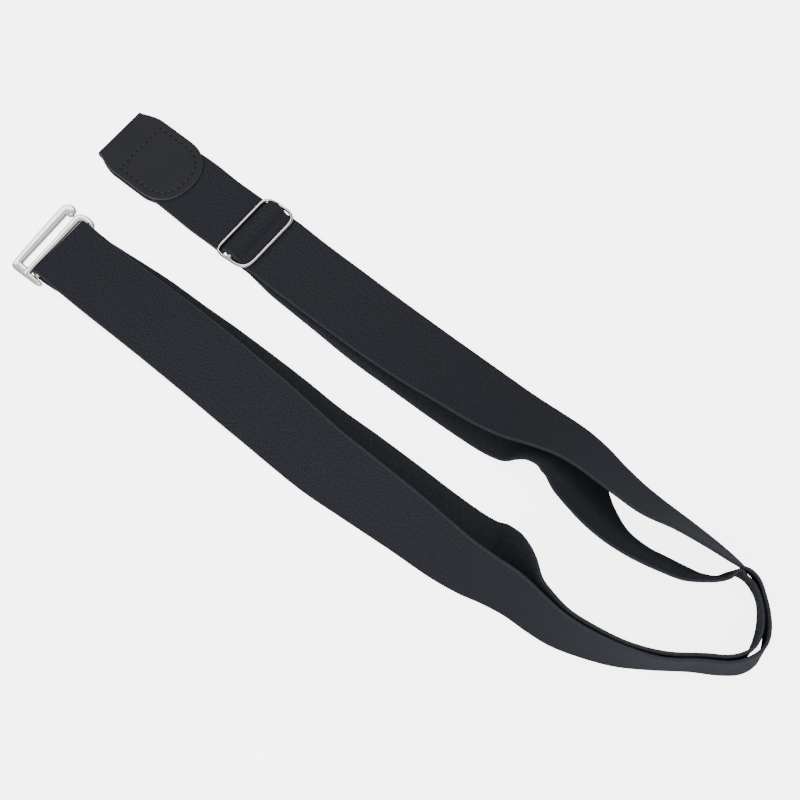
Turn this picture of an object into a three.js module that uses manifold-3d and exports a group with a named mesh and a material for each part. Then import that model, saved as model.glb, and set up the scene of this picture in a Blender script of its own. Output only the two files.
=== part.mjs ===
// Adjustable elastic shirt-stay belt lying on a table: webbing strap, wire slider, hook buckle, leather tab.
// Millimetres, +Z up. The arms run along +X from the buckle to the standing bend.
import * as THREE from 'three';
import { mergeVertices } from 'three/addons/utils/BufferGeometryUtils.js';
import Module from 'manifold-3d';

const wasm = await Module();
wasm.setup();

// Sizes
const gap = 0.3;
const strapWidth = 30;
const strapThick = 1.3;
const leatherThick = 1.3;
const wireRadius = 0.7;
const barRadius = 1.2;
const reach = 330; // buckle to bend
const spread = 90; // across both arms
const farShare = 0.811; // of the spread, to the far arm's outer edge at the slider
const nearShare = -0.147; // of the spread, to the near arm's outer edge at the buckle
const farMiddle = farShare * spread - strapWidth / 2;
const nearMiddle = nearShare * spread + strapWidth / 2;
const headingSpan = 4;
const layerSteps = 170;

// The buckle, whose middle lies on the near arm's
const buckleMiddle = nearMiddle + 0.03; // across
const buckleLength = 17.4; // from the hook's bar to the ends of the arms
const plateThick = 2.4;
const plateBevel = 0.4;
const armWidth = 2.9;
const buckleHalf = strapWidth / 2 + gap + armWidth;
const foldRadius = barRadius + gap + 0.1 + strapThick / 2;
const flatLead = 3; // length of flat strap before a bar that it turns round
const strapBar = { x: 5.5 + strapThick / 2 + foldRadius, z: strapThick / 2 + foldRadius };

// The slider, whose right bar lies over two layers of strap
const sliderMiddle = farMiddle - 0.39;
const sliderHalf = strapWidth / 2 + gap + wireRadius;
const sliderLength = 16.7; // between the middles of the outer bars
const leftCorner = 4.2;
const rightCorner = 6;
const leftBar = { x: 56.3, z: strapThick + gap + wireRadius };
const rightBar = { x: leftBar.x + sliderLength, z: 2 * strapThick + 3 * gap + 1.2 + wireRadius };
const barRise = (rightBar.z - leftBar.z) / sliderLength;
const centreBar = { x: leftBar.x + 0.4 * sliderLength, z: leftBar.z + 0.4 * (rightBar.z - leftBar.z) };
const loopRadius = wireRadius + gap + strapThick / 2;
const sewnStart = rightBar.x + 5;
const crossRadius = loopRadius + strapThick + gap + 0.05;

// The leather tab
const tabFold = -12;
const tabTip = 29.5;
const tabRoot = 15;
const tabShoulder = 0;
const tabHalf = 15.6;
const foldHalf = 12.7;
const tabMiddle = farMiddle - 0.69;
const tabLayer = leatherThick + gap + strapThick / 2; // height of the strap's middle inside the tab
const tabTop = 2 * (leatherThick + gap) + strapThick;
const tabRoundness = 0.9; // power of the round end's sine and cosine: under 1 makes it squarer
const tabEase = 2; // length of the straight flank beside the fold
const roundSteps = 24;
const past = 1; // how far the shapes that are cut together reach past each other

// The outer layer's lower edge from the slider round the bend to the buckle: its place, its height, and how far
// the strap leans from flat, in degrees.
// Along and across are shares of reach and spread, rise is a share of the strap's width.
const outerLayer = [
  { along: 0.242, across: farShare, rise: 0.060, lean: 0 },
  { along: 0.273, across: 0.808, rise: 0.055, lean: 1 },
  { along: 0.339, across: 0.807, rise: 0.055, lean: 2 },
  { along: 0.394, across: 0.806, rise: 0.055, lean: 4 },
  { along: 0.455, across: 0.808, rise: 0.052, lean: 8 },
  { along: 0.509, across: 0.812, rise: 0.045, lean: 14 },
  { along: 0.561, across: 0.816, rise: 0.040, lean: 19 },
  { along: 0.600, across: 0.820, rise: 0.034, lean: 26 },
  { along: 0.633, across: 0.829, rise: 0.024, lean: 34 },
  { along: 0.670, across: 0.837, rise: 0.010, lean: 40 },
  { along: 0.703, across: 0.829, rise: 0, lean: 44 },
  { along: 0.733, across: 0.808, rise: 0, lean: 48 },
  { along: 0.764, across: 0.792, rise: 0, lean: 51 },
  { along: 0.794, across: 0.786, rise: 0, lean: 53 },
  { along: 0.833, across: 0.784, rise: 0, lean: 59 },
  { along: 0.873, across: 0.779, rise: 0, lean: 63 },
  { along: 0.903, across: 0.769, rise: 0, lean: 66 },
  { along: 0.921, across: 0.756, rise: 0, lean: 69 },
  { along: 0.938, across: 0.738, rise: 0, lean: 73 },
  { along: 0.953, across: 0.695, rise: 0, lean: 77 },
  { along: 0.967, across: 0.634, rise: 0, lean: 80 },
  { along: 0.978, across: 0.573, rise: 0, lean: 83 },
  { along: 0.987, across: 0.502, rise: 0, lean: 86 },
  { along: 0.989, across: 0.437, rise: 0, lean: 89 },
  { along: 0.982, across: 0.374, rise: 0, lean: 92 },
  { along: 0.965, across: 0.318, rise: 0, lean: 96 },
  { along: 0.936, across: 0.250, rise: 0, lean: 97 },
  { along: 0.903, across: 0.160, rise: 0, lean: 97 },
  { along: 0.867, across: 0.072, rise: 0, lean: 91 },
  { along: 0.824, across: 0.003, rise: 0, lean: 85 },
  { along: 0.794, across: -0.030, rise: 0, lean: 80 },
  { along: 0.764, across: -0.042, rise: 0, lean: 76 },
  { along: 0.736, across: -0.047, rise: 0, lean: 73 },
  { along: 0.706, across: -0.067, rise: 0, lean: 70 },
  { along: 0.679, across: -0.094, rise: 0, lean: 65 },
  { along: 0.642, across: -0.116, rise: 0, lean: 59 },
  { along: 0.588, across: -0.129, rise: 0, lean: 53 },
  { along: 0.518, across: -0.150, rise: 0, lean: 45 },
  { along: 0.461, across: -0.166, rise: 0, lean: 37 },
  { along: 0.412, across: -0.165, rise: 0, lean: 31 },
  { along: 0.373, across: -0.161, rise: 0.004, lean: 26 },
  { along: 0.330, across: -0.158, rise: 0.012, lean: 22 },
  { along: 0.291, across: -0.154, rise: 0.026, lean: 18 },
  { along: 0.239, across: -0.150, rise: 0.040, lean: 13 },
  { along: 0.194, across: -0.148, rise: 0.052, lean: 8 },
  { along: 0.152, across: -0.147, rise: 0.055, lean: 5 },
  { along: 0.115, across: -0.147, rise: 0.060, lean: 3 },
  { along: 0.079, across: -0.147, rise: 0.085, lean: 1 },
  { along: 0.048, across: nearShare, rise: 0.120, lean: 0 },
];

// The inner layer's lower edge from the buckle round the bend to the slider.
const innerLayer = [
  { along: 0.045, across: -0.144, rise: 0, lean: 0 },
  { along: 0.091, across: -0.128, rise: 0, lean: 0 },
  { along: 0.158, across: -0.107, rise: 0, lean: 0 },
  { along: 0.212, across: -0.102, rise: 0, lean: 0 },
  { along: 0.267, across: -0.094, rise: 0, lean: 0 },
  { along: 0.364, across: -0.092, rise: 0, lean: 0 },
  { along: 0.427, across: -0.098, rise: 0, lean: 0 },
  { along: 0.485, across: -0.091, rise: 0, lean: 0 },
  { along: 0.545, across: -0.088, rise: 0, lean: 0 },
  { along: 0.600, across: -0.088, rise: 0, lean: 0 },
  { along: 0.645, across: -0.084, rise: 0, lean: 1 },
  { along: 0.673, across: -0.080, rise: 0, lean: 7 },
  { along: 0.694, across: -0.062, rise: 0, lean: 14 },
  { along: 0.709, across: -0.048, rise: 0, lean: 27 },
  { along: 0.721, across: -0.030, rise: 0, lean: 42 },
  { along: 0.736, across: -0.022, rise: 0, lean: 57 },
  { along: 0.755, across: -0.020, rise: 0, lean: 70 },
  { along: 0.776, across: -0.008, rise: 0, lean: 77 },
  { along: 0.803, across: 0.010, rise: 0, lean: 83 },
  { along: 0.836, across: 0.051, rise: 0, lean: 88 },
  { along: 0.870, across: 0.108, rise: 0, lean: 93 },
  { along: 0.903, across: 0.188, rise: 0, lean: 97 },
  { along: 0.936, across: 0.278, rise: 0, lean: 97 },
  { along: 0.958, across: 0.344, rise: 0, lean: 98 },
  { along: 0.972, across: 0.400, rise: 0, lean: 95 },
  { along: 0.976, across: 0.446, rise: 0, lean: 91 },
  { along: 0.975, across: 0.496, rise: 0, lean: 88 },
  { along: 0.967, across: 0.580, rise: 0, lean: 83 },
  { along: 0.952, across: 0.662, rise: 0, lean: 77.5 },
  { along: 0.939, across: 0.697, rise: 0, lean: 74.5 },
  { along: 0.922, across: 0.716, rise: 0, lean: 74 },
  { along: 0.905, across: 0.699, rise: 0, lean: 75 },
  { along: 0.896, across: 0.652, rise: 0, lean: 72 },
  { along: 0.880, across: 0.620, rise: 0, lean: 67 },
  { along: 0.864, across: 0.606, rise: 0, lean: 62 },
  { along: 0.836, across: 0.586, rise: 0, lean: 60 },
  { along: 0.815, across: 0.572, rise: 0, lean: 59 },
  { along: 0.785, across: 0.577, rise: 0, lean: 55 },
  { along: 0.758, across: 0.618, rise: 0, lean: 47 },
  { along: 0.736, across: 0.672, rise: 0, lean: 38 },
  { along: 0.715, across: 0.734, rise: 0, lean: 33 },
  { along: 0.697, across: 0.769, rise: 0, lean: 31 },
  { along: 0.676, across: 0.788, rise: 0, lean: 32 },
  { along: 0.652, across: 0.803, rise: 0, lean: 28 },
  { along: 0.630, across: 0.800, rise: 0, lean: 20 },
  { along: 0.612, across: 0.797, rise: 0, lean: 9 },
  { along: 0.591, across: 0.791, rise: 0, lean: 4 },
  { along: 0.561, across: 0.787, rise: 0, lean: 1 },
  { along: 0.515, across: 0.781, rise: 0, lean: 0 },
  { along: 0.455, across: 0.776, rise: 0, lean: 0 },
  { along: 0.394, across: 0.772, rise: 0, lean: 0 },
  { along: 0.339, across: 0.780, rise: 0, lean: 0 },
  { along: 0.298, across: 0.785, rise: 0, lean: 0 },
  { along: 0.270, across: 0.789, rise: 0, lean: 0 },
  { along: 0.242, across: 0.803, rise: 0, lean: 0 },
];

// The buckle's two flat pieces, from end to end: the places of both edges, ahead as shares of the buckle's
// length, and aside as shares of its half width, from the buckle's middle.
const hookEdges = [
  { ahead: 0.000, aside: 0.860, innerAhead: -0.110, innerAside: 0.765 },
  { ahead: -0.040, aside: 0.960, innerAhead: -0.126, innerAside: 0.760 },
  { ahead: -0.155, aside: 1.000, innerAhead: -0.135, innerAside: 0.752 },
  { ahead: -0.290, aside: 0.960, innerAhead: -0.140, innerAside: 0.744 },
  { ahead: -0.365, aside: 0.850, innerAhead: -0.140, innerAside: 0.730 },
  { ahead: -0.370, aside: 0.700, innerAhead: -0.134, innerAside: 0.675 },
  { ahead: -0.316, aside: -0.055, innerAhead: -0.095, innerAside: -0.055 },
  { ahead: -0.248, aside: -0.760, innerAhead: -0.063, innerAside: -0.710 },
  { ahead: -0.232, aside: -0.885, innerAhead: -0.056, innerAside: -0.750 },
  { ahead: -0.205, aside: -0.960, innerAhead: -0.038, innerAside: -0.775 },
  { ahead: -0.125, aside: -0.990, innerAhead: 0.000, innerAside: -0.785 },
  { ahead: 0.030, aside: -0.995, innerAhead: 0.040, innerAside: -0.785 },
  { ahead: 0.140, aside: -0.995, innerAhead: 0.140, innerAside: -0.780 },
];

// The frame's piece runs from the far arm's tip along the middle bar to the near arm's tip.
const frameEdges = [
  { ahead: 0.589, aside: 0.901, innerAhead: 0.563, innerAside: 0.849 },
  { ahead: 0.569, aside: 0.945, innerAhead: 0.534, innerAside: 0.843 },
  { ahead: 0.500, aside: 0.984, innerAhead: 0.483, innerAside: 0.841 },
  { ahead: 0.322, aside: 1.000, innerAhead: 0.379, innerAside: 0.841 },
  { ahead: 0.207, aside: 0.984, innerAhead: 0.310, innerAside: 0.846 },
  { ahead: 0.109, aside: 0.929, innerAhead: 0.259, innerAside: 0.835 },
  { ahead: 0.052, aside: 0.846, innerAhead: 0.236, innerAside: 0.791 },
  { ahead: 0.049, aside: 0.725, innerAhead: 0.233, innerAside: 0.698 },
  { ahead: 0.092, aside: 0.060, innerAhead: 0.253, innerAside: 0.159 },
  { ahead: 0.126, aside: -0.703, innerAhead: 0.270, innerAside: -0.648 },
  { ahead: 0.141, aside: -0.868, innerAhead: 0.279, innerAside: -0.758 },
  { ahead: 0.155, aside: -0.980, innerAhead: 0.305, innerAside: -0.848 },
  { ahead: 0.345, aside: -0.984, innerAhead: 0.391, innerAside: -0.850 },
  { ahead: 0.534, aside: -0.982, innerAhead: 0.517, innerAside: -0.852 },
  { ahead: 0.632, aside: -0.965, innerAhead: 0.585, innerAside: -0.856 },
  { ahead: 0.672, aside: -0.925, innerAhead: 0.622, innerAside: -0.863 },
];

const materials = {
  webbing: new THREE.MeshStandardMaterial({ color: 0x2c3038, roughness: 0.9 }),
  leather: new THREE.MeshStandardMaterial({ color: 0x303236, roughness: 0.6 }),
  nickel: new THREE.MeshStandardMaterial({ color: 0xd8d8d6, metalness: 1, roughness: 0.2 }),
};

// One closed surface through rings of equally many points, capped at both ends unless it closes on itself.
function loft(rings, closed = false) {
  const size = rings[0].length;
  const positions = rings.flat().flatMap((p) => [p.x, p.y, p.z]);
  const index = [];
  const steps = closed ? rings.length : rings.length - 1;
  for (let i = 0; i < steps; i += 1) {
    const here = i * size;
    const next = ((i + 1) % rings.length) * size;
    for (let j = 0; j < size; j += 1) {
      const k = (j + 1) % size;
      index.push(here + j, here + k, next + k, here + j, next + k, next + j);
    }
  }
  if (!closed) {
    const last = (rings.length - 1) * size;
    for (let j = 1; j < size - 1; j += 1) {
      index.push(0, j + 1, j, last, last + j, last + j + 1);
    }
  }
  const geometry = new THREE.BufferGeometry();
  geometry.setAttribute('position', new THREE.Float32BufferAttribute(positions, 3));
  geometry.setIndex(index);
  return outward(geometry);
}

// The same surface with its faces turned outwards, judged by its signed volume.
function outward(geometry) {
  const p = geometry.getAttribute('position');
  const index = geometry.getIndex().array;
  const [a, b, c] = [new THREE.Vector3(), new THREE.Vector3(), new THREE.Vector3()];
  let volume = 0;
  for (let i = 0; i < index.length; i += 3) {
    a.fromBufferAttribute(p, index[i]);
    b.fromBufferAttribute(p, index[i + 1]);
    c.fromBufferAttribute(p, index[i + 2]);
    volume += a.dot(b.cross(c));
  }
  if (volume < 0) {
    geometry.setIndex(Array.from(index).reverse());
  }
  return geometry;
}

// A round wire through points in space, each with the next.
function wire(points, radius, closed = false, sides = 12) {
  const count = points.length;
  const up = new THREE.Vector3(0, 0, 1);
  const rings = points.map((point, i) => {
    const before = points[closed ? (i + count - 1) % count : Math.max(i - 1, 0)];
    const after = points[closed ? (i + 1) % count : Math.min(i + 1, count - 1)];
    const along = after.clone().sub(before).normalize();
    const side = new THREE.Vector3().crossVectors(up, along).normalize();
    const top = new THREE.Vector3().crossVectors(along, side);
    return Array.from({ length: sides }, (_, j) => {
      const turn = (2 * Math.PI * j) / sides;
      return point.clone()
        .addScaledVector(side, radius * Math.cos(turn))
        .addScaledVector(top, radius * Math.sin(turn));
    });
  });
  return loft(rings, closed);
}

// Corners rounded by curves, each with its own radius, as plan points.
function rounded(corners, radii, steps) {
  const count = corners.length;
  return corners.flatMap(([x, y], i) => {
    const corner = new THREE.Vector2(x, y);
    const before = new THREE.Vector2(...corners[(i + count - 1) % count]).sub(corner);
    const after = new THREE.Vector2(...corners[(i + 1) % count]).sub(corner);
    const half = Math.abs(before.angleTo(after)) / 2;
    const bite = Math.min(radii[i] / Math.tan(half), 0.45 * before.length(), 0.45 * after.length());
    const start = corner.clone().addScaledVector(before.normalize(), bite);
    const end = corner.clone().addScaledVector(after.normalize(), bite);
    return Array.from({ length: steps + 1 }, (_, k) => {
      const t = k / steps;
      return new THREE.Vector2(
        (1 - t) ** 2 * start.x + 2 * t * (1 - t) * corner.x + t ** 2 * end.x,
        (1 - t) ** 2 * start.y + 2 * t * (1 - t) * corner.y + t ** 2 * end.y,
      );
    });
  });
}

// Boolean solids
function toSolid(geometry) {
  const bare = geometry.clone();
  for (const name of Object.keys(bare.attributes)) {
    if (name !== 'position') {
      bare.deleteAttribute(name);
    }
  }
  const merged = mergeVertices(bare, 1e-4);
  return new wasm.Manifold(new wasm.Mesh({
    numProp: 3,
    vertProperties: new Float32Array(merged.getAttribute('position').array),
    triVerts: new Uint32Array(merged.getIndex().array),
  }));
}

function toGeometry(solid) {
  const mesh = solid.getMesh();
  const geometry = new THREE.BufferGeometry();
  geometry.setAttribute('position', new THREE.Float32BufferAttribute(mesh.vertProperties, 3));
  geometry.setIndex(Array.from(mesh.triVerts));
  return geometry;
}

function named(name, geometry, material) {
  geometry.computeVertexNormals();
  const mesh = new THREE.Mesh(geometry, material);
  mesh.name = name;
  return mesh;
}

// A table's columns at evenly spaced steps, smoothed by a curve through its rows.
function smoothRows(rows, steps) {
  const edge = new THREE.CatmullRomCurve3(
    rows.map((r) => new THREE.Vector3(r.along * reach, r.across * spread, r.rise * strapWidth)),
    false,
    'centripetal',
  );
  const leans = rows.map((r) => r.lean);
  return Array.from({ length: steps + 1 }, (_, i) => {
    const t = i / steps;
    const place = t * (rows.length - 1);
    const row = Math.min(Math.floor(place), rows.length - 2);
    const part = place - row;
    const before = leans[Math.max(row - 1, 0)];
    const after = leans[Math.min(row + 2, rows.length - 1)];
    const pull = 0.5 * (leans[row + 1] - before);
    const push = 0.5 * (after - leans[row]);
    const lean = (2 * part ** 3 - 3 * part ** 2 + 1) * leans[row]
      + (part ** 3 - 2 * part ** 2 + part) * pull
      + (3 * part ** 2 - 2 * part ** 3) * leans[row + 1]
      + (part ** 3 - part ** 2) * push;
    return { point: edge.getPoint(t), tangent: edge.getTangent(t), lean };
  });
}

// Sections of one layer: its lower edge, and the direction across the band towards the loop's inside.
// The heading is averaged over a few steps, so that neighbouring sections don't cross at a tight turn.
function layerSections(rows, inside, steps) {
  const smooth = smoothRows(rows, steps);
  return smooth.map(({ point, lean }, i) => {
    const reachOut = Math.min(headingSpan, i, steps - i);
    const heading = new THREE.Vector3();
    for (let k = i - reachOut; k <= i + reachOut; k += 1) {
      heading.add(smooth[k].tangent);
    }
    heading.setZ(0).normalize();
    const turn = THREE.MathUtils.degToRad(lean);
    const across = new THREE.Vector3(
      -inside * heading.y * Math.cos(turn),
      inside * heading.x * Math.cos(turn),
      Math.sin(turn),
    );
    const clear = 0.5 * strapThick * Math.abs(Math.cos(turn));
    return { edge: point.clone().setZ(point.z + clear), across, width: strapWidth };
  });
}

// Sections square to the strap at points of a side profile along X, its middle eased from one place to another.
function profileSections(profile, towards, start, end) {
  return profile.map(({ x, z, width }) => {
    const middle = THREE.MathUtils.lerp(start.y, end.y, THREE.MathUtils.smoothstep(x, start.x, end.x));
    return {
      edge: new THREE.Vector3(x, middle - (towards * width) / 2, z),
      across: new THREE.Vector3(0, towards, 0),
      width,
    };
  });
}

// Side profile smoothed through its points.
function smoothProfile(points, steps) {
  const curve = new THREE.CatmullRomCurve3(
    points.map(({ x, z, width }) => new THREE.Vector3(x, width, z)),
    false,
    'centripetal',
  );
  return curve.getPoints(steps).map((p) => ({ x: p.x, z: p.z, width: p.y }));
}

function arcPoints(centre, radius, from, to, count, width) {
  return Array.from({ length: count }, (_, i) => {
    const turn = THREE.MathUtils.degToRad(from + ((to - from) * i) / (count - 1));
    return { x: centre.x + radius * Math.cos(turn), z: centre.z + radius * Math.sin(turn), width };
  });
}

// From inside the leather tab, under the left bar, over the centre bar and under the right bar.
function throughSlider() {
  const low = strapThick / 2;
  const underRight = rightBar.z - wireRadius - 2 * gap - low;
  const width = strapWidth;
  return smoothProfile([
    { x: tabShoulder + 2.6, z: tabLayer, width: width - 2 },
    { x: tabRoot, z: tabLayer, width: width - 1 },
    { x: tabTip + 1.5, z: tabLayer, width },
    { x: tabTip + 6, z: 0.6 * tabLayer + 0.4 * low, width },
    { x: tabTip + 12, z: low, width },
    { x: leftBar.x - 5, z: low, width },
    { x: leftBar.x, z: low, width },
    { x: leftBar.x + 1.6, z: low + 0.1, width: width - gap },
    { x: leftBar.x + 2.7, z: low + 0.8, width: width - gap },
    ...arcPoints(centreBar, crossRadius, 190, 80, 6, width - gap),
    { x: centreBar.x + 2.6, z: centreBar.z + crossRadius - 1.0, width: width - gap },
    { x: rightBar.x - 4.5, z: underRight + 0.1, width: width - 2 * gap },
    { x: rightBar.x - 2.5, z: underRight - 0.1, width },
    { x: rightBar.x, z: underRight - 0.2, width },
    { x: rightBar.x + 2.2, z: underRight - 0.4, width },
  ], 90);
}

// Round the buckle's bar, from the top layer down to the inner layer.
function roundBuckle() {
  return [
    { x: strapBar.x + flatLead, z: strapBar.z + foldRadius - 0.1, width: strapWidth },
    ...arcPoints(strapBar, foldRadius, 90, 270, 11, strapWidth),
    { x: strapBar.x + flatLead, z: strapThick / 2, width: strapWidth },
  ];
}

// Under the right bar and round the centre bar, ending between the layers.
function sewnEnd() {
  const low = strapThick / 2;
  return smoothProfile([
    { x: sewnStart, z: low, width: strapWidth },
    { x: rightBar.x, z: low, width: strapWidth },
    { x: centreBar.x + 4, z: low + 0.1, width: strapWidth - gap },
    ...arcPoints(centreBar, loopRadius, 270, 90, 9, strapWidth - 2 * gap),
    { x: centreBar.x + 1.4, z: centreBar.z + loopRadius - 0.5, width: strapWidth - 2 * gap },
    { x: centreBar.x + 3, z: 3 * low + gap + 0.8, width: strapWidth - 2 * gap },
  ], 48);
}

// The four corners of each section, on both sides of the band's middle surface.
function strapRings(sections) {
  const middles = sections.map(({ edge, across, width }) => edge.clone().addScaledVector(across, width / 2));
  return sections.map(({ edge, across, width }, i) => {
    const before = middles[Math.max(i - 1, 0)];
    const after = middles[Math.min(i + 1, sections.length - 1)];
    const along = after.clone().sub(before).normalize();
    const normal = new THREE.Vector3().crossVectors(along, across).normalize().multiplyScalar(strapThick / 2);
    const far = edge.clone().addScaledVector(across, width);
    return [
      edge.clone().sub(normal),
      far.clone().sub(normal),
      far.clone().add(normal),
      edge.clone().add(normal),
    ];
  });
}

function makeStrap() {
  const sewnMiddle = innerLayer[innerLayer.length - 1].across * spread - strapWidth / 2;
  const atTab = { x: tabTip, y: tabMiddle };
  const beforeSlider = { x: leftBar.x - flatLead, y: sliderMiddle };
  const atRight = { x: rightBar.x, y: (sliderMiddle + farMiddle) / 2 };
  const sections = [
    ...profileSections(throughSlider().filter(({ x }) => x < centreBar.x), -1, atTab, beforeSlider),
    ...profileSections(
      throughSlider().filter(({ x }) => x >= centreBar.x),
      -1,
      atRight,
      { x: rightBar.x + flatLead, y: farMiddle },
    ),
    ...layerSections(outerLayer, -1, layerSteps),
    ...profileSections(roundBuckle(), 1, { x: 0, y: nearMiddle }, { x: 1, y: nearMiddle }),
    ...layerSections(innerLayer, 1, layerSteps),
    ...profileSections(sewnEnd(), -1, atRight, { x: sewnStart, y: sewnMiddle }),
  ];
  return named('elastic_strap', loft(strapRings(sections)), materials.webbing);
}

// A rounded wire frame, rising from the left bar to the right bar, with a centre bar.
function makeSlider() {
  const low = sliderMiddle - sliderHalf;
  const high = sliderMiddle + sliderHalf;
  const plan = rounded(
    [[leftBar.x, low], [rightBar.x, low], [rightBar.x, high], [leftBar.x, high]],
    [leftCorner, rightCorner, rightCorner, leftCorner],
    8,
  );
  const ring = plan.map((p) => new THREE.Vector3(p.x, p.y, leftBar.z + (p.x - leftBar.x) * barRise));
  const cross = [low, high].map((y) => new THREE.Vector3(centreBar.x, y, centreBar.z));
  const solid = toSolid(wire(ring, wireRadius, true, 14)).add(toSolid(wire(cross, wireRadius, false, 14)));
  return named('wire_slider', toGeometry(solid), materials.nickel);
}

// A flat plate with bevelled edges, between an outer and an inner edge line of equally many points.
function flatPlate(outer, inner) {
  const rings = outer.map((start, i) => {
    const end = inner[i];
    const bevel = end.clone().sub(start).setLength(plateBevel);
    const [startIn, endIn] = [start.clone().add(bevel), end.clone().sub(bevel)];
    const high = plateThick - plateBevel;
    return [
      [startIn, 0], [start, plateBevel], [start, high], [startIn, plateThick],
      [endIn, plateThick], [end, high], [end, plateBevel], [endIn, 0],
    ].map(([point, z]) => point.clone().setZ(z));
  });
  return toSolid(loft(rings));
}

// A plate whose two edge lines are smoothed through the rows of a table.
function edgedPlate(rows) {
  const edge = (ahead, aside) => new THREE.CatmullRomCurve3(
    rows.map((r) => new THREE.Vector3(r[ahead] * buckleLength, buckleMiddle + r[aside] * buckleHalf, 0)),
    false,
    'centripetal',
  ).getPoints(3 * (rows.length - 1));
  return flatPlate(edge('ahead', 'aside'), edge('innerAhead', 'innerAside'));
}

// The round bar that the strap turns round, between the arms.
function strapRail() {
  const half = buckleHalf - 0.85 * armWidth;
  const ends = [-half, half].map((y) => new THREE.Vector3(strapBar.x, buckleMiddle + y, strapBar.z));
  return toSolid(wire(ends, barRadius, false, 14));
}

function makeBuckle() {
  const pieces = [edgedPlate(hookEdges), edgedPlate(frameEdges), strapRail()];
  return named('hook_buckle', toGeometry(wasm.Manifold.union(pieces)), materials.nickel);
}

// The tab's outline from above: a straight fold, widening shoulders and a round end.
function tabOutline() {
  const tip = tabTip - tabRoot;
  const arc = Array.from({ length: roundSteps + 1 }, (_, i) => {
    const turn = (Math.PI * i) / roundSteps - Math.PI / 2;
    const swell = Math.sign(Math.sin(turn)) * Math.abs(Math.sin(turn)) ** tabRoundness;
    return new THREE.Vector2(tabRoot + tip * Math.cos(turn) ** tabRoundness, tabMiddle + tabHalf * swell);
  });
  return [
    new THREE.Vector2(tabFold - past, tabMiddle - foldHalf),
    new THREE.Vector2(tabFold + tabEase, tabMiddle - foldHalf),
    new THREE.Vector2(tabShoulder, tabMiddle - tabHalf),
    ...arc,
    new THREE.Vector2(tabShoulder, tabMiddle + tabHalf),
    new THREE.Vector2(tabFold + tabEase, tabMiddle + foldHalf),
    new THREE.Vector2(tabFold - past, tabMiddle + foldHalf),
  ];
}

// The strip's side profile: two layers joined by the fold, with the strap's end between them.
function tabProfile() {
  const outer = tabTop / 2;
  const inner = outer - leatherThick;
  const bend = (radius) => Array.from({ length: roundSteps / 2 + 1 }, (_, i) => {
    const turn = Math.PI / 2 + (Math.PI * i) / (roundSteps / 2);
    return new THREE.Vector2(tabFold + outer + radius * Math.cos(turn), outer + radius * Math.sin(turn));
  });
  return [
    new THREE.Vector2(tabTip + past, tabTop),
    ...bend(outer),
    new THREE.Vector2(tabTip + past, 0),
    new THREE.Vector2(tabTip + past, leatherThick),
    ...bend(inner).reverse(),
    new THREE.Vector2(tabTip + past, tabTop - leatherThick),
  ];
}

function makeTab() {
  const fullWidth = 2 * (tabHalf + past);
  const side = new THREE.ExtrudeGeometry(
    new THREE.Shape(tabProfile()),
    { depth: fullWidth, bevelEnabled: false },
  );
  side.rotateX(Math.PI / 2);
  side.translate(0, tabMiddle + fullWidth / 2, 0);
  const plan = new THREE.ExtrudeGeometry(
    new THREE.Shape(tabOutline()),
    { depth: tabTop + 2 * past, bevelEnabled: false },
  );
  plan.translate(0, 0, -past);
  return named('leather_tab', toGeometry(toSolid(side).intersect(toSolid(plan))), materials.leather);
}

// All pieces, moved so that the origin is under the middle of the whole.
function makeBelt() {
  const belt = new THREE.Group();
  belt.name = 'shirt_stay';
  belt.add(makeStrap(), makeSlider(), makeBuckle(), makeTab());
  const box = new THREE.Box3().setFromObject(belt);
  const middle = box.getCenter(new THREE.Vector3());
  for (const piece of belt.children) {
    piece.geometry.translate(-middle.x, -middle.y, -box.min.z);
  }
  return belt;
}

export default makeBelt();
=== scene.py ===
"""Looks of a shirt-stay belt: elastic webbing, a wire slider, a hook buckle and a sewn leather tab.

Lengths in this file are millimetres in the drawing's own frame, which starts at the buckle, and a piece
is moved to the row frame and turned to metres when its mesh is made.
"""

import bpy
import numpy as np
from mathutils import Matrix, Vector


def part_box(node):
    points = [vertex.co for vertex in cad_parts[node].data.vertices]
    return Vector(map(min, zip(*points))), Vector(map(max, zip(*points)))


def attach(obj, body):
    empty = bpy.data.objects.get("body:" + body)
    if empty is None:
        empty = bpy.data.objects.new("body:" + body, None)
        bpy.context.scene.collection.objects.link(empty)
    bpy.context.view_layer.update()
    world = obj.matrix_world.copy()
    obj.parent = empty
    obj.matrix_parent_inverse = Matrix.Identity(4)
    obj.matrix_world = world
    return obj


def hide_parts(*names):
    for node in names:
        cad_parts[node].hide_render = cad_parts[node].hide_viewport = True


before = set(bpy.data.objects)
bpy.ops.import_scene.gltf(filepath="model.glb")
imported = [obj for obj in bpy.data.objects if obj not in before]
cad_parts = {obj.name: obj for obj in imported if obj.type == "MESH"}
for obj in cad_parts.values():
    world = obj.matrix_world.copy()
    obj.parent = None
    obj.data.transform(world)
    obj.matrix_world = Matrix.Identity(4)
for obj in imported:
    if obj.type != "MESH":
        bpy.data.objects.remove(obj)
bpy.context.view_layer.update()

# Sizes
gap = 0.3
strap_width = 30.0
strap_thick = 1.3
leather_thick = 1.3
wire_radius = 0.7
bar_radius = 1.2
reach = 330.0
spread = 90.0
layer_steps = 680
heading_span = 16
sew_step = 2.9
face_points = 21
selvedge_points = 6
selvedge_round = 0.45
yarn_slant = 55  # degrees, from the strap's run
wire_sides = 28
bar_rings = 12
flat_lead = 3.0  # length of flat strap before a bar that it turns round
distance_chunks = 64

# The buckle
buckle_middle = 1.8
buckle_length = 17.4
plate_thick = 2.4
plate_rounding = 0.8
arm_width = 2.9
buckle_half = strap_width / 2 + gap + arm_width
fold_radius = bar_radius + gap + 0.1 + strap_thick / 2
strap_bar = (5.5 + strap_thick / 2 + fold_radius, strap_thick / 2 + fold_radius)

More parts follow.
